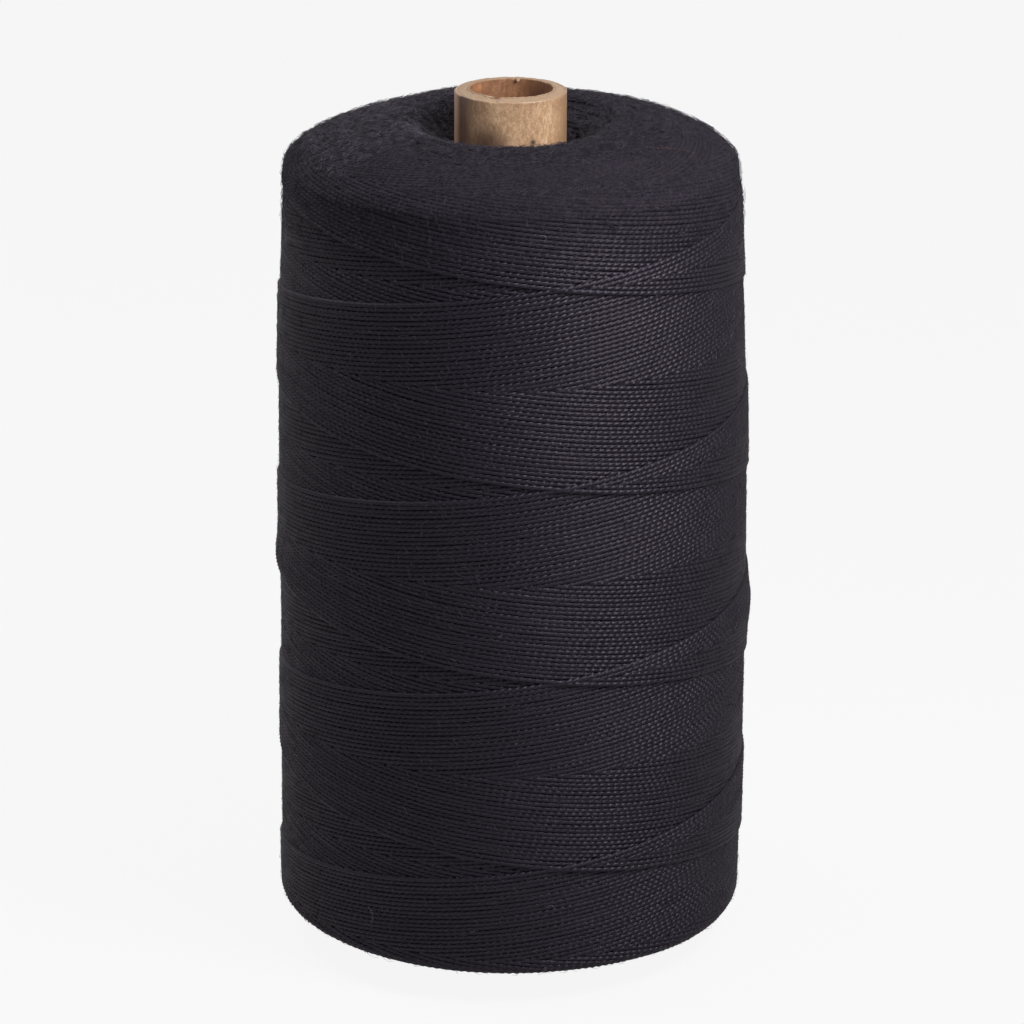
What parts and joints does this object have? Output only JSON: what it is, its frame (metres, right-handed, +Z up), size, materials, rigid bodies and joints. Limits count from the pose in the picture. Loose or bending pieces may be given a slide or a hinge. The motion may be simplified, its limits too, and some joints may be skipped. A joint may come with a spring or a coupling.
{
  "type": "spool of thread",
  "caption": "Straight-sided cross-wound spool of black plied cotton thread on a plain brown kraft paper tube, open through its axis.",
  "frame": {"origin": "centre of the tube's lower rim, on the surface that the spool stands on", "axes": "+Z up along the tube's axis; -Y is the side that the picture shows; +X to its right"},
  "size_m": [0.075, 0.075, 0.1365],
  "materials": {
    "inner_kraft": "matte",
    "board_kraft": "matte",
    "outer_kraft": "matte",
    "wound_thread": "matte",
    "outer_thread": "matte"
  },
  "bodies": {
    "root": {"inner_ply": "inner_kraft", "board_plies": "board_kraft", "outer_ply": "outer_kraft", "wound_core": "wound_thread", "outer_winding": "outer_thread"}
  },
  "joints": []
}
